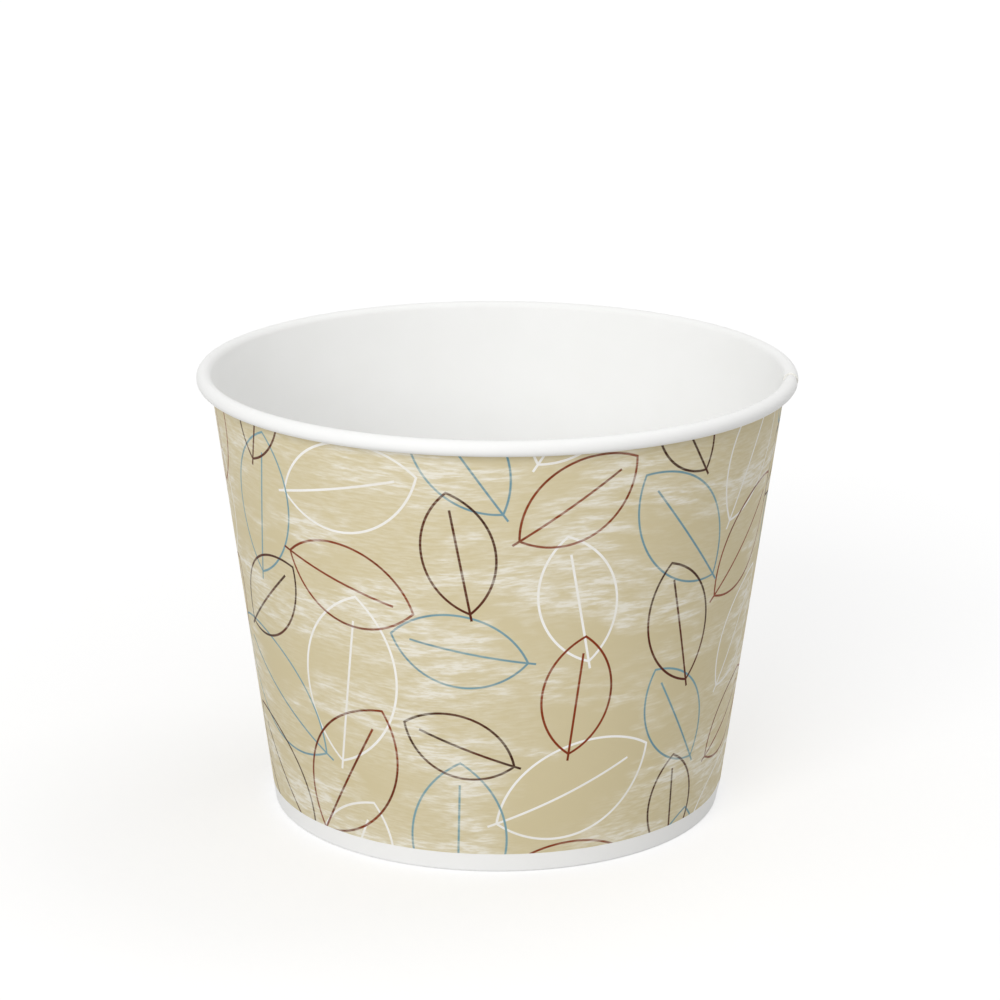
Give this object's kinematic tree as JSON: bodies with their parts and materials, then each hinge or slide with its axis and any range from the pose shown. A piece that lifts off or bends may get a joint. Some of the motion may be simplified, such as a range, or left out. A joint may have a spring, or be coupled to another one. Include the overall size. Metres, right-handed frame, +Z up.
{
  "type": "paper food bucket",
  "caption": "Round tapered paper food bucket with an outward rolled rim, a lapped side seam and a recessed bottom sealed in the foot's hem.",
  "frame": {"origin": "middle of the foot, on the table", "axes": "+Z up along the bucket's axis, -Y towards the front shown in the picture, side seam along +X"},
  "size_m": [0.184, 0.184, 0.138],
  "materials": {
    "printed_board": "satin",
    "white_board": "satin"
  },
  "bodies": {
    "root": {"sidewall": "printed_board", "bottom": "white_board"}
  },
  "joints": []
}
